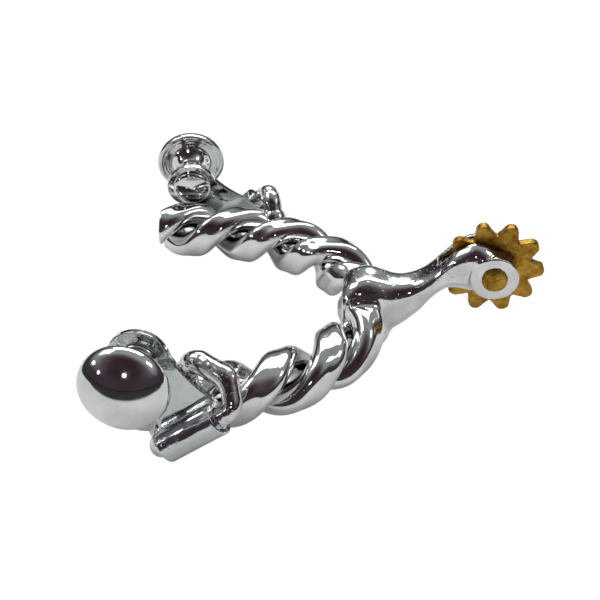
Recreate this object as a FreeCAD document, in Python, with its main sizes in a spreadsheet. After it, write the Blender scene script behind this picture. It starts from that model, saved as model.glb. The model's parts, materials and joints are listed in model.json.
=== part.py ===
"""Western spur with a twisted-rope heel band, a fixed shank, a brass rowel and two swinging strap buttons.

Frame: the origin is on the inner face of the band behind the heel, in the middle plane of the band.
+X runs back along the shank to the rowel, +Y to the wearer's right, +Z up. All sizes are in millimetres.
"""
import FreeCAD, Part
import math
import os

import Sketcher
from FreeCAD import Vector, Placement, Rotation

os.makedirs("parts", exist_ok=True)
doc = FreeCAD.newDocument("spur")

# ---------------------------------------------------------------------------------------------------
# Driving dimensions
# ---------------------------------------------------------------------------------------------------
SIZES = [
    ("rope_dia", 16.0, "outside diameter of the two-strand twist"),
    ("rope_pitch", 36.0, "length of one full turn of a strand"),
    ("rope_phase", 163.5, "angle of strand A behind the heel, from outward towards up, degrees"),
    ("strand_gap", 0.1, "gap between the two strands along the core of the twist"),
    ("strand_width", 10.9, "width of a strand across the twist"),
    ("twist_squareness", 2.4, "2 makes the twist round in section, more makes its sides flatter"),
    ("band_half_length", 56.0, "long semi-axis of the heel curve, to the strand core"),
    ("band_half_width", 42.0, "half width of the heel curve, to the strand core"),
    ("arm_straight", 10.5, "straight end of each arm past the curve"),
    ("pin_back", 34.3, "rowel pin behind the core of the band"),
    ("pin_height", 17.0, "rowel pin above the middle plane of the band"),
    ("pin_dia", 4.0, "rowel pin"),
    ("pin_head_dia", 7.0, "round heads of the rowel pin"),
    ("pin_head_height", 1.3, "height of a pin head"),
    ("pin_hole_dia", 4.1, "hole through both cheeks of the fork"),
    ("fork_width", 12.8, "width over both cheeks"),
    ("fork_slot", 3.8, "slot between the cheeks"),
    ("cheek_radius", 6.6, "rounded end of a cheek about the pin"),
    ("slot_clearance", 1.0, "room between the rowel points and the floor of the slot"),
    ("rowel_tip_radius", 13.9, "rowel centre to the end of a point"),
    ("rowel_root_radius", 10.4, "rowel centre to the valley between points"),
    ("rowel_thickness", 2.4, "rowel plate"),
    ("rowel_bore", 4.12, "hole in the rowel, a running fit on the pin"),
    ("rowel_points", 10, "number of points"),
    ("tooth_base", 6.2, "width of a point at the valley circle"),
    ("tooth_tip", 4.0, "width of a point where its rounded end starts"),
    ("hinge_side_left", 55.6, "left hinge line from the middle plane of the spur"),
    ("hinge_side_right", 59.0, "right hinge line from the middle plane of the spur"),
    ("hinge_forward_left", 33.2, "middle of the left hinge line ahead of the heel face"),
    ("hinge_forward_right", 35.9, "middle of the right hinge line ahead of the heel face"),
    ("hinge_height_left", 1.8, "middle of the left hinge line above the middle plane of the band"),
    ("hinge_height_right", -3.3, "middle of the right hinge line above the middle plane of the band"),
    ("hinge_slope_left", 37.0, "the left hinge line falls towards the front by this many degrees"),
    ("hinge_slope_right", 43.0, "the right hinge line falls towards the front by this many degrees"),
    ("hanger_width", 17.0, "length of the rolled knuckle"),
    ("sheet", 1.7, "sheet thickness of the hanger"),
    ("knuckle_bore", 5.2, "inside diameter of the rolled knuckle"),
    ("roll_gap", 0.25, "gap between the rolled edge and the plate"),
    ("plate_reach", 22.0, "hinge line to the stud hole"),
    ("plate_end_radius", 7.9, "rounded end of the plate"),
    ("plate_waist", 7.1, "half width of the plate at its waist"),
    ("lean_left", 7.0, "how far the left hanger leans in over its arm, degrees"),
    ("lean_right", 14.0, "how far the right hanger leans in over its arm, degrees"),
    ("staple_dia", 5.0, "wire of the hinge staple"),
    ("weld_radius", 3.5, "weld bead at each foot of a staple"),
    ("button_dia", 22.0, "domed button"),
    ("button_height", 7.6, "height of the dome over its rim"),
    ("button_wall", 1.5, "wall of the dome"),
    ("button_standoff", 10.6, "plate to the back of the button"),
    ("post_dia", 7.0, "post of the button at its waist"),
    ("post_flare", 13.0, "post of the button where it spreads into the dome"),
    ("post_collar", 9.4, "post of the button where it sits on the plate"),
    ("rivet_seat", 2.0, "end of the rivet's hole below the back of the button"),
    ("rivet_dia", 3.6, "rivet through the plate"),
    ("rivet_head_dia", 12.0, "domed rivet head on the boot side"),
    ("rivet_head_height", 3.2, "height of that head"),
]

sizes = doc.addObject("Spreadsheet::Sheet", "sizes")
for row, (alias, number, meaning) in enumerate(SIZES, start=1):
    sizes.set("A%d" % row, meaning)
    sizes.set("B%d" % row, str(number))
    sizes.setAlias("B%d" % row, alias)
doc.recompute()


def size(alias):
    """A driving dimension as a plain number."""
    return float(sizes.get(alias))


# ---------------------------------------------------------------------------------------------------
# Small helpers for bodies and sketches
# ---------------------------------------------------------------------------------------------------
def new_body(label):
    body = doc.addObject("PartDesign::Body", label)
    body.Label = label
    return body


def new_sketch(body, name, plane):
    """A sketch on one of the body's own origin planes."""
    sketch = body.newObject("Sketcher::SketchObject", name)
    support = next(item for item in body.Origin.OriginFeatures if item.Role == plane)
    sketch.AttachmentSupport = [(support, "")]
    sketch.MapMode = "FlatFace"
    return sketch


def bind(sketch, constraint, name, expression):
    """Add a constraint and drive it from the sheet."""
    index = sketch.addConstraint(constraint)
    sketch.renameConstraint(index, name)
    sketch.setExpression("Constraints." + name, expression)


def add_circle(sketch, name, diameter, centre_x=None):
    """A circle centred on the sketch's X axis, at the origin unless centre_x is given."""
    at = 0.0 if centre_x is None else size(centre_x)
    circle = sketch.addGeometry(Part.Circle(Vector(at, 0, 0), Vector(0, 0, 1), diameter / 2), False)
    sketch.addConstraint(Sketcher.Constraint("PointOnObject", circle, 3, -1))
    if centre_x is None:
        sketch.addConstraint(Sketcher.Constraint("PointOnObject", circle, 3, -2))
    else:
        bind(sketch, Sketcher.Constraint("DistanceX", -1, 1, circle, 3, at), name + "_x", "sizes." + centre_x)
    return circle


def add_outline(sketch, steps):
    """A closed outline. Each step is ("line", end) or ("arc", middle, end); the first is ("start", point)."""
    start = Vector(*steps[0][1], 0)
    here = start
    for step in steps[1:]:
        end = Vector(*step[-1], 0)
        if step[0] == "line":
            sketch.addGeometry(Part.LineSegment(here, end), False)
        else:
            sketch.addGeometry(Part.Arc(here, Vector(*step[1], 0), end), False)
        here = end
    if here.distanceToPoint(start) > 1e-6:
        sketch.addGeometry(Part.LineSegment(here, start), False)


SHOULDER_SHARE = 0.55               # radius of a dome's shoulder as a share of its height


def dome_steps(radius, rim, pole, downwards=False):
    """Two tangent arcs between a dome's widest point, at height rim, and its pole on the axis.

    The steps run from the rim to the pole, or from the pole to the rim when downwards is true.
    """
    height = abs(pole - rim)
    up = math.copysign(1.0, pole - rim)
    shoulder = SHOULDER_SHARE * height
    inset = radius - shoulder
    crown = (inset ** 2 + height ** 2 - shoulder ** 2) / (2 * (height - shoulder))
    turn = math.atan2(inset, crown - height)

    def on_crown(angle):
        return (crown * math.sin(angle), rim + up * (height - crown + crown * math.cos(angle)))

    def on_shoulder(angle):
        return (inset + shoulder * math.sin(angle), rim + up * shoulder * math.cos(angle))

    middle_shoulder = on_shoulder((turn + math.pi / 2) / 2)
    if downwards:
        return [("arc", on_crown(turn / 2), on_crown(turn)), ("arc", middle_shoulder, (radius, rim))]
    return [("arc", middle_shoulder, on_crown(turn)), ("arc", on_crown(turn / 2), (0, pole))]


def revolve(body, name, steps):
    """Turn an outline, drawn as (radius, height), about the body's Z axis."""
    sketch = new_sketch(body, name + "_profile", "XZ_Plane")
    add_outline(sketch, steps)
    turned = body.newObject("PartDesign::Revolution", name)
    turned.Profile = sketch
    turned.ReferenceAxis = (sketch, ["V_Axis"])
    turned.Angle = 360
    sketch.Visibility = False
    return turned


def place(shape_object, placement):
    shape_object.Placement = placement


# ---------------------------------------------------------------------------------------------------
# Heel band: two strands twisted round a horseshoe curve
# ---------------------------------------------------------------------------------------------------
ROPE_RADIUS = size("rope_dia") / 2
CURVE_X = ROPE_RADIUS - size("band_half_length")       # centre of the heel curve
STATIONS_PER_TURN = 14
RING_POINTS = 20                    # points round a strand's section
CURVE_STEPS = 2000


def band_curve():
    """The core of the twist from the left arm's end to the right arm's end, as (arc length, point) pairs."""
    front = CURVE_X - size("arm_straight")
    points = [Vector(front, -size("band_half_width"), 0)]
    for step in range(CURVE_STEPS + 1):
        angle = -math.pi / 2 + math.pi * step / CURVE_STEPS
        x = CURVE_X + size("band_half_length") * math.cos(angle)
        points.append(Vector(x, size("band_half_width") * math.sin(angle), 0))
    points.append(Vector(front, size("band_half_width"), 0))
    lengths = [0.0]
    for before, after in zip(points, points[1:]):
        lengths.append(lengths[-1] + before.distanceToPoint(after))
    half = lengths[-1] / 2
    return [(length - half, point) for length, point in zip(lengths, points)]


BAND = band_curve()


def band_at(length):
    """The point and the outward direction on the core at an arc length counted from behind the heel."""
    index = 1
    while index < len(BAND) - 1 and BAND[index][0] < length:
        index += 1
    (low, before), (high, after) = BAND[index - 1], BAND[index]
    point = before + (after - before) * ((length - low) / (high - low))
    along = (after - before).normalize()
    return point, Vector(along.y, -along.x, 0)


def squared(out, up):
    """A point of a round twist, out and up from its core, pushed out towards the corners of a square."""
    reach = math.hypot(out, up)
    if reach == 0:
        return out, up
    power = size("twist_squareness")
    corner = (abs(out / reach) ** power + abs(up / reach) ** power) ** (-1 / power)
    return out * corner, up * corner


def make_strand(label, phase):
    """One strand: an oval section that turns round the core as it follows the heel curve."""
    reach = (ROPE_RADIUS + size("strand_gap") / 2) / 2           # core to the middle of a strand
    radial = ROPE_RADIUS - reach
    across = size("strand_width") / 2
    half = BAND[-1][0]
    count = int(round(2 * half / size("rope_pitch") * STATIONS_PER_TURN))
    rings = []
    for station in range(count + 1):
        length = -half + 2 * half * station / count
        point, outward = band_at(length)
        angle = math.radians(phase + 360 * length / size("rope_pitch"))
        ring = []
        for step in range(RING_POINTS + 1):
            turn = 2 * math.pi * (step % RING_POINTS) / RING_POINTS
            deep = reach + radial * math.cos(turn)
            aside = across * math.sin(turn)
            out, up = squared(deep * math.cos(angle) - aside * math.sin(angle),
                              deep * math.sin(angle) + aside * math.cos(angle))
            ring.append(point + outward * out + Vector(0, 0, up))
        rings.append(ring)
    skin = Part.BSplineSurface()
    skin.interpolate(rings)
    first, last = skin.bounds()[:2]
    faces = [skin.toShape()]
    for end in (first, last):
        faces.append(Part.Face(Part.Wire([skin.uIso(end).toShape()])))
    shell = Part.Shell(faces)
    shell.sewShape()
    solid = Part.Solid(shell)
    if solid.Volume < 0:
        solid.reverse()
    strand = doc.addObject("Part::Feature", label)
    strand.Label = label
    strand.Shape = solid
    return strand


strand_a = make_strand("band_strand_a", size("rope_phase"))
strand_b = make_strand("band_strand_b", size("rope_phase") + 180)

# ---------------------------------------------------------------------------------------------------
# Shank: a yoke over the back of the band that narrows to a neck, rises and spreads into a fork
# ---------------------------------------------------------------------------------------------------
PIN_X = ROPE_RADIUS + size("pin_back")
PIN_Z = size("pin_height")
# Each station of the shank: distance behind the band's core as a share of the pin's distance,
# underside and top as shares of the pin's height, half width as a share of the fork's half width.
SHANK_STATIONS = [
    (-0.20, -0.40, 0.60, 1.15),     # inside the band
    (-0.06, -0.40, 0.78, 1.20),     # crown of the yoke
    (0.08, -0.36, 0.77, 1.08),      # back of the yoke
    (0.24, -0.155, 0.70, 0.93),     # throat
    (0.43, 0.20, 0.82, 0.82),       # neck, lower end
    (0.60, 0.63, 1.16, 0.80),       # neck, upper end
    (0.78, 0.68, 1.48, 0.92),       # cheeks begin
    (0.89, 0.635, 1.50, 1.00),      # hump on top of the cheeks
]
SHANK_CORNER = 0.34                 # corner radius as a share of a section's smaller side
LOFT_DEGREE = 3
CHEEK_START = 10.5                  # the cheeks are flat from here to the end, ahead of the pin


def rounded_section(x, bottom, top, half_width):
    """A rectangle with round corners, upright and square to X."""
    corner = SHANK_CORNER * min(top - bottom, 2 * half_width)
    spread = half_width - corner
    corners = [(spread, top - corner, 0), (-spread, top - corner, 90),
               (-spread, bottom + corner, 180), (spread, bottom + corner, 270)]
    edges = []
    previous = None
    for y, z, turn in corners:
        ends = []
        for angle in (turn, turn + 45, turn + 90):
            a = math.radians(angle)
            ends.append(Vector(x, y + corner * math.cos(a), z + corner * math.sin(a)))
        if previous is not None:
            edges.append(Part.LineSegment(previous, ends[0]).toShape())
        else:
            first = ends[0]
        edges.append(Part.Arc(*ends).toShape())
        previous = ends[2]
    edges.append(Part.LineSegment(previous, first).toShape())
    return Part.Wire(edges)


shank_body = doc.addObject("Part::Feature", "shank_casting")
sections = []
for back, under, over, wide in SHANK_STATIONS:
    sections.append(rounded_section(ROPE_RADIUS + back * size("pin_back"), under * PIN_Z, over * PIN_Z,
                                    wide * size("fork_width") / 2))
sections.append(rounded_section(PIN_X, PIN_Z - size("cheek_radius"), PIN_Z + size("cheek_radius"),
                                size("fork_width") / 2))
shank_body.Shape = Part.makeLoft(sections, True, False, False, LOFT_DEGREE)


def add_cylinder(name, radius, height, height_value):
    """A cylinder about the rowel pin's line, centred on the middle plane."""
    cylinder = doc.addObject("Part::Cylinder", name)
    cylinder.setExpression("Radius", radius)
    cylinder.setExpression("Height", height)
    cylinder.Placement = Placement(Vector(PIN_X, height_value / 2, PIN_Z), Rotation(Vector(1, 0, 0), 90))
    return cylinder


cheek_round = add_cylinder("cheek_round", "sizes.cheek_radius", "sizes.fork_width", size("fork_width"))
shank_solid = doc.addObject("Part::Fuse", "shank_solid")
shank_solid.Base = shank_body
shank_solid.Tool = cheek_round
CHEEK_FACES = {"left_cheek_face": "-3 * sizes.fork_width / 2", "right_cheek_face": "sizes.fork_width / 2"}
for name, low_side in CHEEK_FACES.items():
    facing = doc.addObject("Part::Box", name)
    facing.setExpression("Length", "4 * sizes.fork_width")
    facing.setExpression("Width", "sizes.fork_width")
    facing.setExpression("Height", "4 * sizes.fork_width")
    facing.Placement.Base = Vector(PIN_X - CHEEK_START, 0, -size("fork_width"))
    facing.setExpression("Placement.Base.y", low_side)
    faced = doc.addObject("Part::Cut", name + "d")
    faced.Base = shank_solid
    faced.Tool = facing
    shank_solid = faced
fork_gap = add_cylinder("fork_gap", "sizes.rowel_tip_radius + sizes.slot_clearance", "sizes.fork_slot",
                        size("fork_slot"))
forked = doc.addObject("Part::Cut", "forked")
forked.Base = shank_solid
forked.Tool = fork_gap
pin_hole = add_cylinder("pin_hole", "sizes.pin_hole_dia / 2", "sizes.fork_width * 2", size("fork_width") * 2)
shank = doc.addObject("Part::Cut", "shank")
shank.Label = "shank"
shank.Base = forked
shank.Tool = pin_hole

# ---------------------------------------------------------------------------------------------------
# Rowel and its pin
# ---------------------------------------------------------------------------------------------------
rowel = new_body("rowel")
disc_sketch = new_sketch(rowel, "rowel_disc", "XY_Plane")
disc = add_circle(disc_sketch, "disc", 2 * size("rowel_root_radius"))
disc_radius = Sketcher.Constraint("Radius", disc, size("rowel_root_radius"))
bind(disc_sketch, disc_radius, "root", "sizes.rowel_root_radius")
disc_pad = rowel.newObject("PartDesign::Pad", "rowel_plate")
disc_pad.Profile = disc_sketch
disc_pad.Midplane = True
disc_pad.setExpression("Length", "sizes.rowel_thickness")

TOOTH_OVERLAP = 0.8                 # how far a point's foot reaches into the disc
TIP_ROUND = 0.85                    # height of a point's rounded end as a share of its half width
tooth_sketch = new_sketch(rowel, "rowel_tooth", "XY_Plane")
root = size("rowel_root_radius") - TOOTH_OVERLAP
base = size("tooth_base") / 2
tip = size("tooth_tip") / 2
shoulder = size("rowel_tip_radius") - TIP_ROUND * tip
add_outline(tooth_sketch, [
    ("start", (root, -base)),
    ("line", (shoulder, -tip)),
    ("arc", (size("rowel_tip_radius"), 0), (shoulder, tip)),
    ("line", (root, base)),
])
tooth_pad = rowel.newObject("PartDesign::Pad", "rowel_point")
tooth_pad.Profile = tooth_sketch
tooth_pad.Midplane = True
tooth_pad.setExpression("Length", "sizes.rowel_thickness")
points = rowel.newObject("PartDesign::PolarPattern", "rowel_points")
points.Originals = [tooth_pad]
points.Axis = (disc_sketch, ["N_Axis"])
points.Angle = 360
points.setExpression("Occurrences", "sizes.rowel_points")
rowel.Tip = points
doc.recompute()
bore_sketch = new_sketch(rowel, "rowel_bore_circle", "XY_Plane")
bore = add_circle(bore_sketch, "bore", size("rowel_bore"))
bind(bore_sketch, Sketcher.Constraint("Diameter", bore, size("rowel_bore")), "bore_dia", "sizes.rowel_bore")
bore_cut = rowel.newObject("PartDesign::Pocket", "rowel_bore")
bore_cut.Profile = bore_sketch
bore_cut.Type = "ThroughAll"
bore_cut.Midplane = True
rowel.Tip = bore_cut
place(rowel, Placement(Vector(PIN_X, 0, PIN_Z), Rotation(Vector(1, 0, 0), 90)))

HEAD_RIM = 0.35                     # straight rim under each pin head
pin_half = size("fork_width") / 2
pin_head = size("pin_head_dia") / 2
rowel_pin = new_body("rowel_pin")
pin_pole = pin_half + size("pin_head_height")
revolve(rowel_pin, "pin_turned", [
    ("start", (0, -pin_pole)),
    *dome_steps(pin_head, -pin_half - HEAD_RIM, -pin_pole, downwards=True),
    ("line", (pin_head, -pin_half)),
    ("line", (size("pin_dia") / 2, -pin_half)),
    ("line", (size("pin_dia") / 2, pin_half)),
    ("line", (pin_head, pin_half)),
    ("line", (pin_head, pin_half + HEAD_RIM)),
    *dome_steps(pin_head, pin_half + HEAD_RIM, pin_pole),
])
place(rowel_pin, Placement(Vector(PIN_X, 0, PIN_Z), Rotation(Vector(1, 0, 0), 90)))

# ---------------------------------------------------------------------------------------------------
# Hinge staples: bent wire, welded to the arm at both feet, straight where the hanger turns on it
# ---------------------------------------------------------------------------------------------------


SIDES = {"left": -1, "right": 1}


def hinge_middle(side_name):
    return Vector(-size("hinge_forward_" + side_name), SIDES[side_name] * size("hinge_side_" + side_name),
                  size("hinge_height_" + side_name))


def hinge_directions(side_name):
    """Up the hinge line towards the back, and square to it, up towards the button."""
    slope = math.radians(size("hinge_slope_" + side_name))
    return Vector(math.cos(slope), 0, math.sin(slope)), Vector(-math.sin(slope), 0, math.cos(slope))


def rounded_path(points, radii):
    """Straight runs joined by tangent arcs."""
    edges = []
    here = points[0]
    for corner in range(1, len(points) - 1):
        before = (points[corner - 1] - points[corner]).normalize()
        after = (points[corner + 1] - points[corner]).normalize()
        half_turn = before.getAngle(after) / 2
        setback = radii[corner - 1] / math.tan(half_turn)
        start = points[corner] + before * setback
        end = points[corner] + after * setback
        bisector = (before + after).normalize()
        middle = points[corner] + bisector * (radii[corner - 1] / math.sin(half_turn) - radii[corner - 1])
        edges.append(Part.LineSegment(here, start).toShape())
        edges.append(Part.Arc(start, middle, end).toShape())
        here = end
    edges.append(Part.LineSegment(here, points[-1]).toShape())
    return Part.Wire(edges)


# The wire from its upper foot to the bend above the knuckle, as steps (back, outwards, up) from that bend,
# and from the bend below the knuckle to its lower foot, as a step from that bend.
STAPLE_UPPER = {
    "left": [(-14.4, -12.8, -1.2), (-11.0, -10.8, 5.8), (-2.0, -5.2, 5.4)],
    "right": [(4.6, -14.4, -1.6), (3.6, -10.8, 3.4), (2.2, -6.4, 3.8)],
}
STAPLE_LOWER = {"left": (0.0, -9.0, 0.0), "right": (-3.4, -12.3, 4.4)}
STAPLE_BENDS = {"left": [3.2, 4.2, 3.2, 2.8], "right": [3.0, 3.0, 3.0, 2.8]}
UPPER_OVERRUN = {"left": 4.6, "right": 3.4}     # end of the knuckle to the corner of the upper bend
LOWER_OVERRUN = {"left": 3.0, "right": 3.8}     # end of the knuckle to the corner of the lower bend


def make_staple(side_name):
    side = SIDES[side_name]
    middle = hinge_middle(side_name)
    along = hinge_directions(side_name)[0]
    overhang = size("hanger_width") / 2
    upper_bend = middle + along * (overhang + UPPER_OVERRUN[side_name])
    lower_bend = middle - along * (overhang + LOWER_OVERRUN[side_name])
    route = [upper_bend + Vector(back, side * out, up) for back, out, up in STAPLE_UPPER[side_name]]
    back, out, up = STAPLE_LOWER[side_name]
    route += [upper_bend, lower_bend, lower_bend + Vector(back, side * out, up)]
    path = rounded_path(route, STAPLE_BENDS[side_name])
    start = (route[1] - route[0]).normalize()
    ring = Part.Wire([Part.Circle(route[0], start, size("staple_dia") / 2).toShape()])
    wire = path.makePipeShell([ring], True, True)
    beads = [Part.makeSphere(size("weld_radius"), foot) for foot in (route[0], route[-1])]
    staple = doc.addObject("Part::Feature", side_name + "_hinge_staple")
    staple.Label = side_name + "_hinge_staple"
    staple.Shape = wire.fuse(beads).removeSplitter()
    return staple


staples = [make_staple(side_name) for side_name in SIDES]


# ---------------------------------------------------------------------------------------------------
# Button hangers: sheet rolled into a knuckle, with a round end for the button
# ---------------------------------------------------------------------------------------------------
def hanger_placement(side_name):
    """Local X runs from the hinge line to the button, local Y along the hinge line, local Z outwards."""
    outward = Vector(0, SIDES[side_name], 0)
    towards_button = hinge_directions(side_name)[1]
    along = outward.cross(towards_button)
    upright = Placement(hinge_middle(side_name), Rotation(towards_button, along, outward, "XYZ"))
    return upright.multiply(Placement(Vector(), Rotation(Vector(0, 1, 0), size("lean_" + side_name))))


BORE_RADIUS = size("knuckle_bore") / 2
KNUCKLE_RADIUS = BORE_RADIUS + size("sheet")
KNUCKLE_SHARE = 0.45                # the knuckle's own strip of plate, as a share of the plate's reach
NECK_SHARE = 0.5                    # the waist is here, as a share of the plate's reach
END_SHARE = 0.45                    # where the round end starts, as a share of its radius
RIVET_CLEARANCE = 0.1               # rivet hole over the rivet
ROLL_MIDDLE = math.radians(53)      # where the rolled sheet's arcs have their middle points


def make_hanger(side_name):
    label = side_name + "_hanger"
    hanger = new_body(label)
    roll = new_sketch(hanger, label + "_roll", "XZ_Plane")
    edge_height = -BORE_RADIUS + size("roll_gap")
    outer_edge = math.sqrt(KNUCKLE_RADIUS ** 2 - edge_height ** 2)
    inner_edge = math.sqrt(BORE_RADIUS ** 2 - edge_height ** 2)
    neck = size("plate_reach") * KNUCKLE_SHARE
    roll_x, roll_z = -math.sin(ROLL_MIDDLE), math.cos(ROLL_MIDDLE)
    add_outline(roll, [
        ("start", (neck, -KNUCKLE_RADIUS)),
        ("line", (0, -KNUCKLE_RADIUS)),
        ("arc", (KNUCKLE_RADIUS * roll_x, KNUCKLE_RADIUS * roll_z), (outer_edge, edge_height)),
        ("line", (inner_edge, edge_height)),
        ("arc", (BORE_RADIUS * roll_x, BORE_RADIUS * roll_z), (0, -BORE_RADIUS)),
        ("line", (neck, -BORE_RADIUS)),
    ])
    knuckle = hanger.newObject("PartDesign::Pad", label + "_knuckle")
    knuckle.Profile = roll
    knuckle.Midplane = True
    knuckle.setExpression("Length", "sizes.hanger_width")
    doc.recompute()

    outline = new_sketch(hanger, label + "_outline", "XY_Plane")
    reach = size("plate_reach")
    end = size("plate_end_radius")
    waist = size("plate_waist")
    half = size("hanger_width") / 2
    waist_x = reach * NECK_SHARE
    shoulder_x = reach - END_SHARE * end
    shoulder_y = end * math.sqrt(1 - END_SHARE ** 2)
    outline.AttachmentOffset = Placement(Vector(0, 0, -KNUCKLE_RADIUS), Rotation())
    outline.setExpression("AttachmentOffset.Base.z", "-sizes.knuckle_bore / 2 - sizes.sheet")
    add_outline(outline, [
        ("start", (0, -half)),
        ("line", (KNUCKLE_RADIUS, -half)),
        ("arc", (waist_x, -waist), (shoulder_x, -shoulder_y)),
        ("arc", (reach + end, 0), (shoulder_x, shoulder_y)),
        ("arc", (waist_x, waist), (KNUCKLE_RADIUS, half)),
        ("line", (0, half)),
    ])
    plate = hanger.newObject("PartDesign::Pad", label + "_plate")
    plate.Profile = outline
    plate.setExpression("Length", "sizes.sheet")
    doc.recompute()

    trim = new_sketch(hanger, label + "_trim", "XY_Plane")
    for sign in (-1, 1):
        add_outline(trim, [
            ("start", (KNUCKLE_RADIUS, sign * half)),
            ("arc", (waist_x, sign * waist), (shoulder_x, sign * shoulder_y)),
            ("line", (shoulder_x, sign * (half + 1))),
            ("line", (KNUCKLE_RADIUS, sign * (half + 1))),
        ])
    trimmed = hanger.newObject("PartDesign::Pocket", label + "_waist")
    trimmed.Profile = trim
    trimmed.Type = "ThroughAll"
    trimmed.Midplane = True
    hanger.Tip = trimmed
    doc.recompute()

    hole_sketch = new_sketch(hanger, label + "_hole_circle", "XY_Plane")
    across = size("rivet_dia") + RIVET_CLEARANCE
    hole = add_circle(hole_sketch, "hole", across, "plate_reach")
    bind(hole_sketch, Sketcher.Constraint("Diameter", hole, across), "hole_dia",
         "sizes.rivet_dia + %g" % RIVET_CLEARANCE)
    hole_cut = hanger.newObject("PartDesign::Pocket", label + "_hole")
    hole_cut.Profile = hole_sketch
    hole_cut.Type = "ThroughAll"
    hole_cut.Midplane = True
    hanger.Tip = hole_cut
    place(hanger, hanger_placement(side_name))
    return hanger


# ---------------------------------------------------------------------------------------------------
# Strap buttons: a domed shell on a flared post, held by a rivet from the boot side
# ---------------------------------------------------------------------------------------------------
DOME_RIM = 0.9                      # height of the dome's widest point over its back
LIP_WIDTH = 0.8                     # flat back of the rim
RIVET_RIM = 0.5                     # straight rim of the rivet head
SEAT_GAP = 0.02                     # clearance between the post and the dome, and the rivet and the post
COLLAR_HEIGHT = 0.8                 # straight side of the post's collar on the plate
FILLET_TOP = 3.2                    # the post is at its waist from here
FLARE_START = 5.0                   # the post starts to spread this far below the button's back
FLARE_EDGE = 0.4                    # and is at its widest this far below it


def make_button(side_name):
    """The dome, post and rivet of one button, on the outer face of the plate."""
    seat = hanger_placement(side_name).multiply(
        Placement(Vector(size("plate_reach"), 0, -BORE_RADIUS), Rotation()))
    back = size("button_standoff")
    rim = size("button_dia") / 2
    wall = size("button_wall")
    crown = size("button_height")
    flare = size("post_flare") / 2

    dome = new_body(side_name + "_button_dome")
    revolve(dome, side_name + "_dome_turned", [
        ("start", (0, back + crown)),
        *dome_steps(rim, back + DOME_RIM, back + crown, downwards=True),
        ("arc", (rim - LIP_WIDTH / 3, back + DOME_RIM / 3), (rim - LIP_WIDTH, back)),
        ("line", (flare + SEAT_GAP, back)),
        ("line", (flare + SEAT_GAP, back + wall)),
        ("line", (0, back + wall)),
    ])
    place(dome, seat)

    post = new_body(side_name + "_button_post")
    hole = size("rivet_dia") / 2 + SEAT_GAP
    hole_end = back - size("rivet_seat")
    waist = size("post_dia") / 2
    collar = size("post_collar") / 2
    foot_fillet = ((2 * waist + collar) / 3, (COLLAR_HEIGHT + FILLET_TOP) / 2 - COLLAR_HEIGHT / 3)
    flare_fillet = ((3 * waist + flare) / 4, back - (FLARE_START + FLARE_EDGE) / 2 + FLARE_EDGE)
    revolve(post, side_name + "_post_turned", [
        ("start", (hole, 0)),
        ("line", (collar, 0)),
        ("line", (collar, COLLAR_HEIGHT)),
        ("arc", foot_fillet, (waist, FILLET_TOP)),
        ("line", (waist, back - FLARE_START)),
        ("arc", flare_fillet, (flare, back - FLARE_EDGE)),
        ("line", (flare, back + wall - SEAT_GAP)),
        ("line", (0, back + wall - SEAT_GAP)),
        ("line", (0, hole_end)),
        ("line", (hole, hole_end)),
    ])
    place(post, seat)

    rivet = new_body(side_name + "_button_rivet")
    head = size("rivet_head_dia") / 2
    tall = size("rivet_head_height")
    under = -size("sheet")
    shaft = size("rivet_dia") / 2
    revolve(rivet, side_name + "_rivet_turned", [
        ("start", (0, under - tall)),
        *dome_steps(head, under - RIVET_RIM, under - tall, downwards=True),
        ("line", (head, under)),
        ("line", (shaft, under)),
        ("line", (shaft, hole_end - SEAT_GAP)),
        ("line", (0, hole_end - SEAT_GAP)),
    ])
    place(rivet, seat)
    return [dome, post, rivet]


sub_parts = [strand_a, strand_b, shank, rowel, rowel_pin] + staples
for side_name in SIDES:
    sub_parts.append(make_hanger(side_name))
    sub_parts.extend(make_button(side_name))

# ---------------------------------------------------------------------------------------------------
# Check everything and write the pieces
# ---------------------------------------------------------------------------------------------------
doc.recompute()
for item in doc.Objects:
    if "Invalid" in item.State or "Error" in item.State:
        raise RuntimeError("%s failed: %s" % (item.Label, item.State))
for item in sub_parts:
    shape = item.Shape
    if shape.isNull() or not shape.isValid() or not shape.Solids:
        raise RuntimeError("%s has no valid solid" % item.Label)
for item in sub_parts:
    item.Shape.exportStep("parts/%s.step" % item.Label)
    box = item.Shape.BoundBox
    print("%-20s solids %d volume %8.1f  x %6.1f %6.1f  y %6.1f %6.1f  z %6.1f %6.1f" % (
        item.Label, len(item.Shape.Solids), item.Shape.Volume,
        box.XMin, box.XMax, box.YMin, box.YMax, box.ZMin, box.ZMax))
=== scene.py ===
"""Chrome western spur: rope-twist band, brass rowel and two domed strap buttons, on a pale studio floor.

The shank, rowel, pin, staples and hangers start from their CAD meshes.
The strands and the buttons' caps, posts and rivets are rebuilt here.
"""
import bpy
import json
import math
import numpy as np
from mathutils import Matrix, Vector, noise


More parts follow.
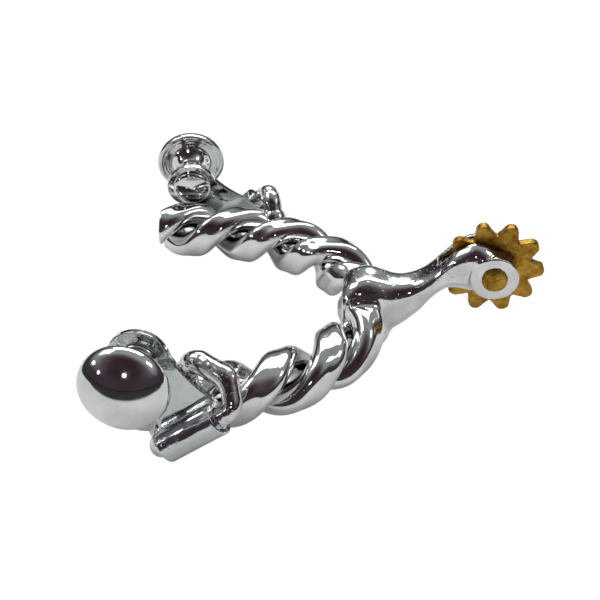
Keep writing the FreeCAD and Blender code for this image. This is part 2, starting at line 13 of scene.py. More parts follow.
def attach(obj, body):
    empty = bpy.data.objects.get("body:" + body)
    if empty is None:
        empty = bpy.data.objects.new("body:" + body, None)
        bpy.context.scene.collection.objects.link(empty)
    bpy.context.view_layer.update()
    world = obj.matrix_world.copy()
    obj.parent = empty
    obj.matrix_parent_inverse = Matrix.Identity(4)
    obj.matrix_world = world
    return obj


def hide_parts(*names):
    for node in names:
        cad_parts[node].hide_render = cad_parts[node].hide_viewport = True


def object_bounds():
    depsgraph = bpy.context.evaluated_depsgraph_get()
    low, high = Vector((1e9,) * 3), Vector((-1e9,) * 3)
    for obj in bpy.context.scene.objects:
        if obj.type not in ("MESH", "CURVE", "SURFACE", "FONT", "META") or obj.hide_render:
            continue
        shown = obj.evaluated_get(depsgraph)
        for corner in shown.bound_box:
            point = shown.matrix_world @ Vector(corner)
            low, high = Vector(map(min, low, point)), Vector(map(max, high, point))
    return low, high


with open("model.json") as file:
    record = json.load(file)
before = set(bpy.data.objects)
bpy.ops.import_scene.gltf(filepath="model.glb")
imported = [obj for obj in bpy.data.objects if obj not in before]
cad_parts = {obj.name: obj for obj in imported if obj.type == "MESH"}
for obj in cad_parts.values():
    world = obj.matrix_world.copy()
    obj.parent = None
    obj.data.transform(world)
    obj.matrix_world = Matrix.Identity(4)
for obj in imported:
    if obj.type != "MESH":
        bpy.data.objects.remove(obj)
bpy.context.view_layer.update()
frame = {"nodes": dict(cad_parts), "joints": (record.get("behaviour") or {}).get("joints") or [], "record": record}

MM = 0.001
NODES = frame["nodes"]
JOINTS = {joint["name"]: joint for joint in frame["joints"]}
MOUNTS = {mount["name"]: mount for mount in frame["record"]["mounts"]}
SIDES = ("left", "right")
UP = Vector((0, 0, 1))

# Band: the CAD strands' curve and twist, with a slightly fuller section
ROPE_RADIUS = 8 * MM
TWIST_SQUARENESS = 2.6                 # 2 is a round twist, more has flatter sides
ROUND_TWIST = 2.1                      # the twist at the yoke and at the left arm's end
ROUND_REACH = (9 * MM, 30 * MM)        # from the yoke, the twist goes from round to square between these
ROUND_END_SHARE = 0.7                  # the left arm gets rounder from this share of its length
END_TAPER = 1.2 * MM                   # each strand is this much thinner all round at the left arm's end
END_TAPER_LENGTH = 10 * MM
BAND_HALF_LENGTH = 56 * MM
BAND_HALF_WIDTH = 42 * MM
ARM_STRAIGHT = 10.5 * MM
TWIST_PITCH = 36 * MM
TWIST_PHASE = 163.5                    # strand A behind the heel, degrees from outward towards up
STRAND_WIDTH = 11.2 * MM
CORE_CLEARANCE = 0.02 * MM             # moves each strand's middle out from half the rope's radius
SIDE_FULLNESS = 0.92                   # below 1 the strand's section is fuller than an ellipse
INNER_FLATNESS = 0.93                  # depth of a strand's inner half as a share of its outer half
STRAND_SEGMENTS = 48
STRAND_STATIONS = 280
CORE_STEPS = 1200
CUT_EDGE = 0.5 * MM                    # rounded rim of the cut ends
YOKE_REACH = 17 * MM                   # the yoke blends into the twist over this length of each arm
YOKE_STATIONS = 60
YOKE_SWELL = 0.15 * MM                 # the yoke stands out from the strands by this in its middle
YOKE_FADE = 0.80 * MM                  # its ends lie this much lower than its middle, under the strands

# Buttons, in the hanger's own frame: X to the button, Y along the hinge line, Z outwards
PLATE_REACH = 22 * MM
KNUCKLE_BORE = 5.2 * MM
SHEET = 1.7 * MM
BUTTON_RADIUS = 11 * MM
BUTTON_HEIGHT = 7.6 * MM
STANDOFF = 10.6 * MM
DOME_RIM = 0.9 * MM
SHOULDER = 0.55                        # radius of the dome's shoulder as a share of its height
CROWN_STEPS = 24
SHOULDER_STEPS = 12
SEAT_GAP = 0.02 * MM
FLARE = 6.5 * MM                       # radius of the post's top
POST_HOLE = 1.82 * MM                  # radius
POST_HOLE_DEPTH = 8.6 * MM
# The post's side below its flare: radius and height above the plate, in mm
POST_SIDE = [(4.7, 0), (4.7, 0.8), (4.0, 1.6), (3.5, 3.2), (3.5, 5.6), (4.0, 8.0), (5.0, 9.6)]
POST_TOP = 12.0 * MM
RIVET_HEAD = 6.0 * MM                  # radius
RIVET_HEIGHT = 2.4 * MM
RIVET_RIM = 0.5 * MM
RIVET_SHAFT = 1.8 * MM                 # radius
RIVET_END = 8.5 * MM
WELD_SWELL = 0.5 * MM
WELD_START = 4.5 * MM                  # from the hinge line, where the wire starts to thicken
WELD_FULL = 7.5 * MM

TAUBIN_SHRINK = 0.55
TAUBIN_GROW = 0.57


# ------------------------------------------------------------------------------------------------
# Mesh helpers
# ------------------------------------------------------------------------------------------------
def add_object(name, vertices, faces):
    mesh = bpy.data.meshes.new(name)
    mesh.from_pydata([tuple(v) for v in vertices], [], faces)
    mesh.validate()
    piece = bpy.data.objects.new(name, mesh)
    bpy.context.scene.collection.objects.link(piece)
    smooth_shade(piece)
    return piece


def smooth_shade(piece):
    piece.data.polygons.foreach_set("use_smooth", [True] * len(piece.data.polygons))
    piece.data.update()


def finish_piece(piece, body, material, slot, *nodes):
    """Give a finished mesh its material and its body, and hide the CAD nodes that it stands for. The slot is not
    used.
    """
    piece.data.materials.clear()
    piece.data.materials.append(material)
    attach(piece, body)
    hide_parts(*nodes)


def ring_tube(name, rings):
    """A closed skin over equal rings of points, with flat ends."""
    count = len(rings[0])
    vertices = [point for ring in rings for point in ring]
    faces = []
    for row in range(len(rings) - 1):
        for column in range(count):
            beside = (column + 1) % count
            low, high = row * count, (row + 1) * count
            faces.append((low + column, low + beside, high + beside, high + column))
    faces.append(tuple(reversed(range(count))))
    faces.append(tuple(range(len(vertices) - count, len(vertices))))
    return add_object(name, vertices, faces)


def lathe(name, outline, matrix, segments=96):
    """Turn an outline of (radius, height) points about local Z; points on the axis become poles."""
    vertices = []
    rows = []
    for radius, height in outline:
        if radius < 1e-6:
            rows.append([len(vertices)])
            vertices.append(matrix @ Vector((0, 0, height)))
            continue
        row = []
        for step in range(segments):
            turn = 2 * math.pi * step / segments
            row.append(len(vertices))
            vertices.append(matrix @ Vector((radius * math.cos(turn), radius * math.sin(turn), height)))
        rows.append(row)
    faces = []
    for below, above in zip(rows, rows[1:]):
        for step in range(segments):
            beside = (step + 1) % segments
            if len(below) == 1:
                faces.append((below[0], above[step], above[beside]))
            elif len(above) == 1:
                faces.append((below[step], above[0], below[beside]))
            else:
                faces.append((below[step], above[step], above[beside], below[beside]))
    return add_object(name, vertices, faces)


def round_outline(points, radius, steps=4):
    """Round the corners of an open outline that starts and ends on the axis."""
    result = [points[0]]
    for before, corner, after in zip(points, points[1:], points[2:]):
        into = Vector(before) - Vector(corner)
        out = Vector(after) - Vector(corner)
        reach = min(radius, 0.45 * into.length, 0.45 * out.length)
        first = Vector(corner) + into.normalized() * reach
        last = Vector(corner) + out.normalized() * reach
        for step in range(steps + 1):
            t = step / steps
            point = first * (1 - t) ** 2 + Vector(corner) * (2 * t * (1 - t)) + last * t ** 2
            result.append((point.x, point.y))
    result.append(points[-1])
    return result


def mesh_edges(mesh):
    pairs = np.empty(len(mesh.edges) * 2, np.int64)
    mesh.edges.foreach_get("vertices", pairs)
    return pairs.reshape(-1, 2)


def get_points(mesh):
    points = np.empty(len(mesh.vertices) * 3)
    mesh.vertices.foreach_get("co", points)
    return points.reshape(-1, 3)


def set_points(mesh, points):
    mesh.vertices.foreach_set("co", points.ravel())
    mesh.update()


def towards_neighbours(points, pairs):
    """For each vertex, the step to the average of its neighbours."""
    first, second = pairs[:, 0], pairs[:, 1]
    counts = np.bincount(pairs.ravel(), minlength=len(points)).clip(1)
    total = np.empty_like(points)
    for axis in range(3):
        total[:, axis] = (np.bincount(first, points[second, axis], len(points))
                          + np.bincount(second, points[first, axis], len(points)))
    return total / counts[:, None] - points


def relax(mesh, steps):
    """Taubin smoothing: evens out the surface with little shrinking."""
    pairs = mesh_edges(mesh)
    points = get_points(mesh)
    for _ in range(steps):
        points += TAUBIN_SHRINK * towards_neighbours(points, pairs)
        points -= TAUBIN_GROW * towards_neighbours(points, pairs)
    set_points(mesh, points)


def get_normals(mesh):
    normals = np.empty(len(mesh.vertices) * 3)
    mesh.vertices.foreach_get("normal", normals)
    return normals.reshape(-1, 3)


def fill_hollows(mesh, rounds, weight):
    """Smooth only where the surface is hollow, so inner corners fill up as a casting's fillets do."""
    pairs = mesh_edges(mesh)
    share = np.array([weight(Vector(point)) for point in get_points(mesh)])
    for _ in range(rounds):
        points = get_points(mesh)
        normals = get_normals(mesh)
        for _ in range(6):
            step = towards_neighbours(points, pairs)
            outward = (step * normals).sum(axis=1)
            points += normals * (0.8 * share * outward.clip(min=0))[:, None]
        set_points(mesh, points)


def apply_modifiers(piece):
    graph = bpy.context.evaluated_depsgraph_get()
    mesh = bpy.data.meshes.new_from_object(piece.evaluated_get(graph))
    piece.modifiers.clear()
    piece.data = mesh
    smooth_shade(piece)


def remesh(piece, voxel):
    modifier = piece.modifiers.new("voxels", "REMESH")
    modifier.mode = "VOXEL"
    modifier.voxel_size = voxel
    modifier.use_smooth_shade = True
    apply_modifiers(piece)


def lumps(piece, depth, scale):
    """Push the surface in and out with soft noise, as a casting has."""
    mesh = piece.data
    points = get_points(mesh)
    moves = np.array([depth * noise.noise(Vector(point) / scale) for point in points])
    set_points(mesh, points + get_normals(mesh) * moves[:, None])


def copy_node(name, node):
    """A new object with the mesh of a CAD node."""
    mesh = NODES[node].data
    vertices = [vertex.co.copy() for vertex in mesh.vertices]
    return add_object(name, vertices, [tuple(polygon.vertices) for polygon in mesh.polygons])


def join_pieces(pieces):
    """One mesh with the faces of several, kept under the first one's name."""
    vertices = []
    faces = []
    for piece in pieces:
        start = len(vertices)
        vertices.extend(vertex.co.copy() for vertex in piece.data.vertices)
        for polygon in piece.data.polygons:
            faces.append(tuple(start + index for index in polygon.vertices))
    name = pieces[0].name
    for piece in pieces:
        bpy.data.objects.remove(piece)
    return add_object(name, vertices, faces)


def cast_copy(name, node, voxel, steps):
    """A CAD node as a casting: even mesh, edges softened over a few voxels."""
    piece = copy_node(name, node)
    remesh(piece, voxel)
    relax(piece.data, steps)
    return piece


# ------------------------------------------------------------------------------------------------
# Materials
# ------------------------------------------------------------------------------------------------
def new_material(name, colour, metallic, roughness):
    material = bpy.data.materials.new(name)
    material.use_nodes = True
    shader = material.node_tree.nodes["Principled BSDF"]
    shader.inputs["Base Color"].default_value = (*colour, 1)
    shader.inputs["Metallic"].default_value = metallic
    shader.inputs["Roughness"].default_value = roughness
    return material, material.node_tree, shader


def add_noise(tree, scale, detail, rough=0.55):
    coordinates = tree.nodes.new("ShaderNodeTexCoord")
    texture = tree.nodes.new("ShaderNodeTexNoise")
    texture.inputs["Scale"].default_value = scale
    texture.inputs["Detail"].default_value = detail
    texture.inputs["Roughness"].default_value = rough
    tree.links.new(coordinates.outputs["Object"], texture.inputs["Vector"])
    return texture.outputs["Fac"]


def add_ramp(tree, value, stops):
    ramp = tree.nodes.new("ShaderNodeValToRGB")
    elements = ramp.color_ramp.elements
    while len(elements) < len(stops):
        elements.new(0.5)
    for element, (place, colour) in zip(elements, stops):
        element.position = place
        element.color = (*colour, 1)
    tree.links.new(value, ramp.inputs["Fac"])
    return ramp.outputs["Color"]


def add_bump(tree, height, distance, strength, before=None):
    bump = tree.nodes.new("ShaderNodeBump")
    bump.inputs["Strength"].default_value = strength
    bump.inputs["Distance"].default_value = distance
    tree.links.new(height, bump.inputs["Height"])
    if before is not None:
        tree.links.new(before, bump.inputs["Normal"])
    return bump.outputs["Normal"]


def grey(value):
    return (value, value, value)


def make_chrome(name, colour, ripple, pits):
    """Chrome plate: mirror with a soft orange-peel ripple, hazy patches and small pits."""
    material, tree, shader = new_material(name, colour, 1.0, 0.06)
    haze = add_ramp(tree, add_noise(tree, 260, 4), [(0.35, grey(0.035)), (0.75, grey(0.16))])
    tree.links.new(haze, shader.inputs["Roughness"])
    darker = tuple(0.82 * c for c in colour)
    tint = add_ramp(tree, add_noise(tree, 150, 3), [(0.3, darker), (0.6, colour)])
    tree.links.new(tint, shader.inputs["Base Color"])
    normal = add_bump(tree, add_noise(tree, 420, 2), 0.2 * MM, ripple)
    if pits:
        hollow = add_ramp(tree, add_noise(tree, 1100, 2, 0.4), [(0.29, grey(0.0)), (0.36, grey(1.0))])
        normal = add_bump(tree, hollow, 0.15 * MM, pits, normal)
    tree.links.new(normal, shader.inputs["Normal"])
    return material


def make_brass(name):
    """Sand-cast brass: grainy, with brown stains between golden patches."""
    material, tree, shader = new_material(name, (0.6, 0.38, 0.09), 1.0, 0.35)
    brown, middle, gold = (0.15, 0.065, 0.007), (0.40, 0.205, 0.024), (0.68, 0.41, 0.08)
    stain = add_ramp(tree, add_noise(tree, 330, 6, 0.7), [(0.30, brown), (0.46, middle), (0.70, gold)])
    tree.links.new(stain, shader.inputs["Base Color"])
    dullness = add_ramp(tree, add_noise(tree, 700, 4), [(0.3, grey(0.22)), (0.7, grey(0.5))])
    tree.links.new(dullness, shader.inputs["Roughness"])
    grain = add_bump(tree, add_noise(tree, 1800, 5, 0.65), 0.12 * MM, 0.55)
    swells = add_bump(tree, add_noise(tree, 520, 3), 0.3 * MM, 0.5, grain)
    tree.links.new(swells, shader.inputs["Normal"])
    return material


CHROME = make_chrome("band_chrome", (0.82, 0.82, 0.81), 0.10, 0.08)
CAST_CHROME = make_chrome("cast_chrome", (0.82, 0.82, 0.81), 0.16, 0.3)
ROUGH_CHROME = make_chrome("weld_chrome", (0.78, 0.77, 0.78), 0.3, 0.5)
SHEET_CHROME = make_chrome("sheet_chrome", (0.72, 0.75, 0.75), 0.16, 0.15)
MIRROR_CHROME = make_chrome("mirror_chrome", (0.84, 0.845, 0.84), 0.03, 0.0)
BRASS = make_brass("cast_brass")


# ------------------------------------------------------------------------------------------------
# Heel band
# ------------------------------------------------------------------------------------------------
def band_core():
    """Points along the core of the twist with their distance from behind the heel."""
    centre = ROPE_RADIUS - BAND_HALF_LENGTH
    front = centre - ARM_STRAIGHT
    points = [Vector((front, -BAND_HALF_WIDTH, 0))]
    for step in range(CORE_STEPS + 1):
        angle = -math.pi / 2 + math.pi * step / CORE_STEPS
        back = centre + BAND_HALF_LENGTH * math.cos(angle)
        points.append(Vector((back, BAND_HALF_WIDTH * math.sin(angle), 0)))
    points.append(Vector((front, BAND_HALF_WIDTH, 0)))
    lengths = np.cumsum([0.0] + [(b - a).length for a, b in zip(points, points[1:])])
    return lengths - lengths[-1] / 2, points


CORE_LENGTHS, CORE_POINTS = band_core()


def core_at(length):
    """The point of the core at a length, and the direction away from the heel there."""
    index = int(np.searchsorted(CORE_LENGTHS, length).clip(1, len(CORE_LENGTHS) - 1))
    before, after = CORE_POINTS[index - 1], CORE_POINTS[index]
    share = (length - CORE_LENGTHS[index - 1]) / (CORE_LENGTHS[index] - CORE_LENGTHS[index - 1])
    along = (after - before).normalized()
    return before.lerp(after, share), Vector((along.y, -along.x, 0))


def ease(value, start, end):
    """0 before start, 1 after end, and smooth in between."""
    share = min(1.0, max(0.0, (value - start) / (end - start)))
    return share * share * (3 - 2 * share)


def squareness_at(length):
    """How square the twist is: round at the yoke and at the left arm's end, flat-sided elsewhere."""
    flat = ease(abs(length), *ROUND_REACH)
    flat *= 1 - ease(-length, ROUND_END_SHARE * CORE_LENGTHS[-1], CORE_LENGTHS[-1])
    return ROUND_TWIST + (TWIST_SQUARENESS - ROUND_TWIST) * flat


def end_taper(length):
    """The swell, zero or below, that thins each strand of the left arm towards its end."""
    return -END_TAPER * ease(-length, CORE_LENGTHS[-1] - END_TAPER_LENGTH, CORE_LENGTHS[-1])


def squared(out, up, power):
    """A point of a round twist, pushed out towards the corners of a square."""
    reach = math.hypot(out, up)
    corner = (abs(out / reach) ** power + abs(up / reach) ** power) ** (-1 / power)
    return out * corner, up * corner


def strand_ring(length, phase, swell):
    """The section of a strand at a length along the core, fatter by swell all round."""
    middle = ROPE_RADIUS / 2 + CORE_CLEARANCE
    radial = ROPE_RADIUS - middle + swell
    across = STRAND_WIDTH / 2 + swell
    point, outward = core_at(length)
    angle = math.radians(phase) + 2 * math.pi * length / TWIST_PITCH
    power = squareness_at(length)
    ring = []
    for step in range(STRAND_SEGMENTS):
        turn = 2 * math.pi * step / STRAND_SEGMENTS
        aside = across * math.copysign(abs(math.sin(turn)) ** SIDE_FULLNESS, math.sin(turn))
        deep = middle + radial * math.cos(turn) * (1.0 if math.cos(turn) > 0 else INNER_FLATNESS)
        out, up = squared(deep * math.cos(angle) - aside * math.sin(angle),
                          deep * math.sin(angle) + aside * math.cos(angle), power)
        ring.append(point + outward * out + UP * up)
    return ring


def make_strand(node, phase):
    """One strand of the twist, cut square at both ends with a rounded rim."""
    half = float(CORE_LENGTHS[-1])
    rim = [(half, -CUT_EDGE), (half, -0.3 * CUT_EDGE), (half - 0.3 * CUT_EDGE, 0)]
    rows = [(-length, swell) for length, swell in rim]
    for station in range(STRAND_STATIONS + 1):
        rows.append(((half - CUT_EDGE) * (2 * station / STRAND_STATIONS - 1), 0))
    rows += reversed(rim)
    rings = [strand_ring(length, phase, swell + end_taper(length)) for length, swell in rows]
    strand = ring_tube(node + "_forged", rings)
    lumps(strand, depth=0.14 * MM, scale=7 * MM)
    finish_piece(strand, "heel_band", CHROME, "band", node)


STRAND_PHASES = {"band_strand_a": TWIST_PHASE, "band_strand_b": TWIST_PHASE + 180}
for node, phase in STRAND_PHASES.items():
    make_strand(node, phase)


# ------------------------------------------------------------------------------------------------
# Shank, rowel and pin
# ------------------------------------------------------------------------------------------------
def near_yoke(point):
    """1 within about 7 mm of the yoke's middle, falling to 0 at about 19 mm."""
    centre = Vector((ROPE_RADIUS + 1 * MM, 0, 2 * MM))
    return min(1.0, max(0.0, 1.6 - (point - centre).length / (12 * MM)))


def make_shank():
    """The shank's casting, with the yoke run into the twist on both arms by wide fillets."""
    parts = [copy_node("shank_casting", "shank")]
    for phase in STRAND_PHASES.values():
        rings = []
        for station in range(YOKE_STATIONS + 1):
            share = 2 * station / YOKE_STATIONS - 1
            rings.append(strand_ring(share * YOKE_REACH, phase, YOKE_SWELL - YOKE_FADE * share ** 2))
        parts.append(ring_tube("yoke_stretch", rings))
    casting = join_pieces(parts)
    remesh(casting, voxel=0.32 * MM)
    fill_hollows(casting.data, rounds=14, weight=near_yoke)
    relax(casting.data, steps=34)
    lumps(casting, depth=0.16 * MM, scale=5 * MM)
    finish_piece(casting, "heel_band", CAST_CHROME, "shank", "shank")


def make_rowel():
    """The ten-point brass wheel, with the rounded points of a sand casting."""
    rowel = cast_copy("rowel_casting", "rowel", voxel=0.2 * MM, steps=10)
    lumps(rowel, depth=0.14 * MM, scale=2.4 * MM)
    finish_piece(rowel, "rowel_wheel", BRASS, "rowel", "rowel")


def make_pin():
    """The brass rivet that the rowel turns on, its heads uneven from the hammer."""
    pin = cast_copy("rowel_pin_peened", "rowel_pin", voxel=0.15 * MM, steps=5)
    lumps(pin, depth=0.10 * MM, scale=1.6 * MM)
    finish_piece(pin, "heel_band", BRASS, "pin", "rowel_pin")


make_shank()
make_rowel()
make_pin()


# ------------------------------------------------------------------------------------------------
# Staples, hangers and buttons
# ------------------------------------------------------------------------------------------------
def hanger_matrix(side_name):
    """The hanger's own frame at rest, from its hinge line and its button's axis."""
    outward = Vector(MOUNTS[side_name + "_strap_button"]["axis"]).normalized()
    to_button = outward.cross(Vector(JOINTS[side_name + "_hanger_swing"]["axis"])).normalized()
    if to_button.z < 0:
        to_button = -to_button
    matrix = Matrix((to_button, outward.cross(to_button), outward)).transposed().to_4x4()
    matrix.translation = Vector(JOINTS[side_name + "_hanger_swing"]["pos_m"])
    return matrix


def dome_outline(radius, rim, pole):
    """Points from the pole to the widest point of a dome with a tight shoulder."""
    height = pole - rim
    shoulder = SHOULDER * height
    inset = radius - shoulder
    crown = (inset ** 2 + height ** 2 - shoulder ** 2) / (2 * (height - shoulder))
    turn = math.atan2(inset, crown - height)
    points = []
    for step in range(CROWN_STEPS + 1):
        angle = turn * step / CROWN_STEPS
        points.append((crown * math.sin(angle), rim + height - crown + crown * math.cos(angle)))
    for step in range(1, SHOULDER_STEPS + 1):
        angle = turn + (math.pi / 2 - turn) * step / SHOULDER_STEPS
        points.append((inset + shoulder * math.sin(angle), rim + shoulder * math.cos(angle)))
    return points


def make_cap(side_name, seat):
    """The domed shell, closed underneath by a shallow recess round the top of the post."""
    dome = dome_outline(BUTTON_RADIUS, STANDOFF + DOME_RIM, STANDOFF + BUTTON_HEIGHT)
    lip = STANDOFF + 0.5 * MM
    recess = STANDOFF + 1.5 * MM
    inside = FLARE + SEAT_GAP
    corners = [dome[-1], (BUTTON_RADIUS - 0.1 * MM, STANDOFF), (BUTTON_RADIUS - 1.6 * MM, STANDOFF)]
    corners += [(BUTTON_RADIUS - 2.4 * MM, lip), (inside, lip), (inside, recess), (0, recess)]
    under = round_outline(corners, 0.5 * MM)
    cap = lathe(side_name + "_button_cap", list(reversed(dome + under[1:])), seat)
    finish_piece(cap, side_name + "_swing", MIRROR_CHROME, "button", side_name + "_button_dome")


def make_post(side_name, seat):
    """The flared post, with a blind hole for the rivet."""
    side = [(radius * MM, height * MM) for radius, height in POST_SIDE]
    profile = [(POST_HOLE, 0)] + side + [(FLARE, STANDOFF), (FLARE, POST_TOP), (0, POST_TOP)]
    outline = [(0, POST_HOLE_DEPTH), (POST_HOLE, POST_HOLE_DEPTH)] + round_outline(profile, 0.6 * MM)
    post = lathe(side_name + "_button_stem", outline, seat, segments=72)
    finish_piece(post, side_name + "_swing", MIRROR_CHROME, "button", side_name + "_button_post")


def make_rivet(side_name, seat):
    """The rivet through the plate, with its domed head on the boot side."""
    top = -SHEET
    dome = dome_outline(RIVET_HEAD, RIVET_RIM - top, RIVET_HEIGHT - top)
    head = [(radius, -height) for radius, height in dome]
    corners = [head[-1], (RIVET_HEAD, top), (RIVET_SHAFT, top), (RIVET_SHAFT, RIVET_END), (0, RIVET_END)]
    shaft = round_outline(corners, 0.25 * MM)
    rivet = lathe(side_name + "_rivet_head", head + shaft[1:], seat, segments=72)
    finish_piece(rivet, side_name + "_swing", MIRROR_CHROME, "rivet", side_name + "_button_rivet")


def fatten_away_from_hinge(staple, side_name):
    """Thicken the wire where the weld flowed over it, well outside the knuckle that turns on it."""
    joint = JOINTS[side_name + "_hanger_swing"]
    along = Vector(joint["axis"]).normalized()
    middle = Vector(joint["pos_m"])
    points = get_points(staple.data)
    swell = []
    for point in points:
        away = Vector(point) - middle
        from_line = (away - along * away.dot(along)).length
        swell.append(WELD_SWELL * ease(from_line, WELD_START, WELD_FULL))
    set_points(staple.data, points + get_normals(staple.data) * np.array(swell)[:, None])


def make_staple(side_name):
    """The bent wire that is the hinge's pin, lumpy from its welds."""
    staple = cast_copy(side_name + "_staple_wire", side_name + "_hinge_staple", voxel=0.2 * MM, steps=8)
    fatten_away_from_hinge(staple, side_name)
    lumps(staple, depth=0.16 * MM, scale=3.6 * MM)
    lumps(staple, depth=0.05 * MM, scale=1.3 * MM)
    finish_piece(staple, "heel_band", ROUGH_CHROME, "staple", side_name + "_hinge_staple")


def make_hanger(side_name):
    """The sheet with a rolled knuckle that carries the button."""
    hanger = cast_copy(side_name + "_hanger_sheet", side_name + "_hanger", voxel=0.18 * MM, steps=5)
    lumps(hanger, depth=0.08 * MM, scale=5 * MM)
    finish_piece(hanger, side_name + "_swing", SHEET_CHROME, "hanger", side_name + "_hanger")


for side_name in SIDES:
    make_staple(side_name)
    make_hanger(side_name)
    plate_face = hanger_matrix(side_name) @ Matrix.Translation((PLATE_REACH, 0, -KNUCKLE_BORE / 2))
    make_cap(side_name, plate_face)
    make_post(side_name, plate_face)
    make_rivet(side_name, plate_face)


# ------------------------------------------------------------------------------------------------
# Studio: white paper, grey room, softbox behind, small lamps, and fill lights that chrome doesn't mirror
# ------------------------------------------------------------------------------------------------
FLOOR_HALF = 4.0
PAPER_MIDDLE = (-0.03, 0.14)
PAPER_HALF = (0.30, 0.31)              # beyond the paper the chrome mirrors a dark table
PAPER_WHITE = 0.86
CAMERA_GLOW = 1.08                     # how bright the camera sees the floor
CAMERA_GLOW_SHARE = 0.92               # the rest of what the camera sees is the lit paper, with its shadow
DARK_SIDE = Vector((-0.1, -0.85, 0.52)).normalized()    # the darkest direction of the room


def distance_from_paper(tree):
    """A socket that is 1 on the edge of the rectangle of paper and less inside it."""
    place = tree.nodes.new("ShaderNodeTexCoord")
    parts = tree.nodes.new("ShaderNodeSeparateXYZ")
    tree.links.new(place.outputs["Object"], parts.inputs[0])
    larger = tree.nodes.new("ShaderNodeMath")
    larger.operation = "MAXIMUM"
    for axis in range(2):
        shift = tree.nodes.new("ShaderNodeMath")
        shift.operation = "MULTIPLY_ADD"
        shift.inputs[1].default_value = 1 / PAPER_HALF[axis]
        shift.inputs[2].default_value = -PAPER_MIDDLE[axis] / PAPER_HALF[axis]
        size = tree.nodes.new("ShaderNodeMath")
        size.operation = "ABSOLUTE"
        tree.links.new(parts.outputs[axis], shift.inputs[0])
        tree.links.new(shift.outputs[0], size.inputs[0])
        tree.links.new(size.outputs[0], larger.inputs[axis])
    return larger.outputs[0]


def make_floor():
    """White paper that the camera sees nearly blown out, and that the chrome mirrors as it is lit."""
    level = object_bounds()[0].z
    corners = [(-1, -1), (1, -1), (1, 1), (-1, 1)]
    vertices = [(FLOOR_HALF * x, FLOOR_HALF * y, level) for x, y in corners]
    floor = add_object("floor", vertices, [(0, 1, 2, 3)])
    material, tree, shader = new_material("floor_paper", grey(PAPER_WHITE), 0.0, 0.9)
    shader.inputs["Specular IOR Level"].default_value = 0.0
    glow = tree.nodes.new("ShaderNodeEmission")
    glow.inputs["Strength"].default_value = CAMERA_GLOW
    path = tree.nodes.new("ShaderNodeLightPath")
    share = tree.nodes.new("ShaderNodeMath")
    share.operation = "MULTIPLY"
    share.inputs[1].default_value = CAMERA_GLOW_SHARE
    paper = add_ramp(tree, distance_from_paper(tree), [(0.93, grey(PAPER_WHITE)), (1.0, grey(0.05))])
    tree.links.new(paper, shader.inputs["Base Color"])
    mix = tree.nodes.new("ShaderNodeMixShader")
    tree.links.new(path.outputs["Is Camera Ray"], share.inputs[0])
    tree.links.new(share.outputs[0], mix.inputs[0])
    tree.links.new(shader.outputs[0], mix.inputs[1])
    tree.links.new(glow.outputs[0], mix.inputs[2])
    tree.links.new(mix.outputs[0], tree.nodes["Material Output"].inputs["Surface"])
    floor.data.materials.append(material)


def make_room():
    """Grey room for reflections, dark low down and behind the camera.

    Camera rays that miss the floor see a white backdrop.
    """
    world = bpy.data.worlds.new("room")
    bpy.context.scene.world = world
    world.use_nodes = True
    tree = world.node_tree
    background = tree.nodes["Background"]
    coordinates = tree.nodes.new("ShaderNodeTexCoord")
    facing = tree.nodes.new("ShaderNodeVectorMath")
    facing.operation = "DOT_PRODUCT"
    facing.inputs[1].default_value = DARK_SIDE
    tree.links.new(coordinates.outputs["Generated"], facing.inputs[0])
    light, dim, dark = (0.29, 0.31, 0.32), (0.10, 0.08, 0.09), (0.035, 0.02, 0.026)
    ceiling = add_ramp(tree, facing.outputs["Value"], [(0.42, light), (0.70, dim), (0.88, dark)])
    parts = tree.nodes.new("ShaderNodeSeparateXYZ")
    tree.links.new(coordinates.outputs["Generated"], parts.inputs[0])
    height = add_ramp(tree, parts.outputs["Z"], [(0.22, grey(0.0)), (0.50, grey(1.0))])
    room_mix = tree.nodes.new("ShaderNodeMix")
    room_mix.data_type = "RGBA"
    room_mix.inputs["A"].default_value = (0.045, 0.035, 0.045, 1)
    tree.links.new(height, room_mix.inputs["Factor"])
    tree.links.new(ceiling, room_mix.inputs["B"])
    room = room_mix.outputs["Result"]
    path = tree.nodes.new("ShaderNodeLightPath")
    mix = tree.nodes.new("ShaderNodeMix")
    mix.data_type = "RGBA"
    tree.links.new(path.outputs["Is Camera Ray"], mix.inputs["Factor"])
    tree.links.new(room, mix.inputs["A"])
    mix.inputs["B"].default_value = (1, 1, 1, 1)
    tree.links.new(mix.outputs["Result"], background.inputs["Color"])


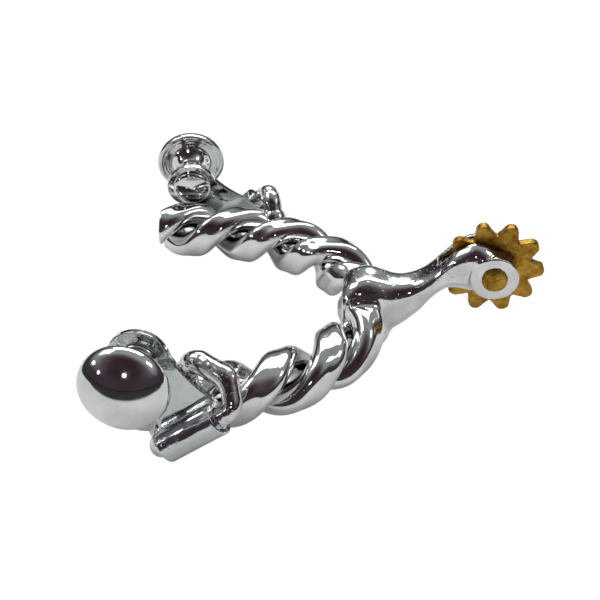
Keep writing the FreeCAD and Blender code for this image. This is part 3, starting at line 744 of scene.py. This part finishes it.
def add_light(name, azimuth, elevation, distance, width, height, power, mirrored):
    """A rectangular light aimed at the spur. Azimuth 0 is towards +Y, behind the spur in the main view."""
    around, above = math.radians(azimuth), math.radians(elevation)
    level = math.cos(above)
    direction = Vector((math.sin(around) * level, math.cos(around) * level, math.sin(above)))
    light = bpy.data.lights.new(name, "AREA")
    light.shape = "RECTANGLE"
    light.size = width
    light.size_y = height
    light.energy = power
    lamp = bpy.data.objects.new(name, light)
    lamp.location = direction * distance
    lamp.rotation_euler = direction.to_track_quat("Z", "Y").to_euler()
    lamp.visible_glossy = mirrored
    bpy.context.scene.collection.objects.link(lamp)


def make_lights():
    """Each line: name, azimuth, elevation, distance, width, height, watts, and whether chrome mirrors it."""
    add_light("back_softbox", 0, 47, 1.0, 0.95, 0.40, 3.8, True)
    add_light("left_window", -66, 46, 1.0, 0.42, 0.40, 1.6, True)
    add_light("right_window", 85, 42, 1.0, 0.30, 0.25, 0.5, True)
    add_light("lamp_1", 186, 28, 1.0, 0.08, 0.08, 0.2, True)
    add_light("lamp_2", 236, 17, 1.0, 0.06, 0.07, 0.12, True)
    add_light("lamp_3", 255, 21, 1.0, 0.10, 0.08, 0.25, True)
    add_light("overhead_fill", 0, 88, 1.2, 1.6, 1.6, 4.7, False)
    add_light("front_fill", 180, 40, 1.2, 0.8, 0.5, 1.0, False)


def make_camera():
    """The photograph's view: from the left side, about 35 degrees up."""
    camera = bpy.data.cameras.new("camera")
    camera.sensor_width = 36
    camera.lens = 59.7
    camera.clip_start = 0.01
    eye = Vector((5.7 * MM, -233.2 * MM, 167.0 * MM))
    forward = Vector((-0.0585, 0.8169, -0.5737)).normalized()
    right = forward.cross(UP).normalized()
    up = right.cross(forward)
    matrix = Matrix((right, up, -forward)).transposed().to_4x4()
    matrix.translation = eye
    holder = bpy.data.objects.new("camera", camera)
    holder.matrix_world = matrix
    bpy.context.scene.collection.objects.link(holder)
    bpy.context.scene.camera = holder


make_floor()
make_room()
make_lights()
make_camera()
bpy.context.scene.view_settings.view_transform = "Standard"
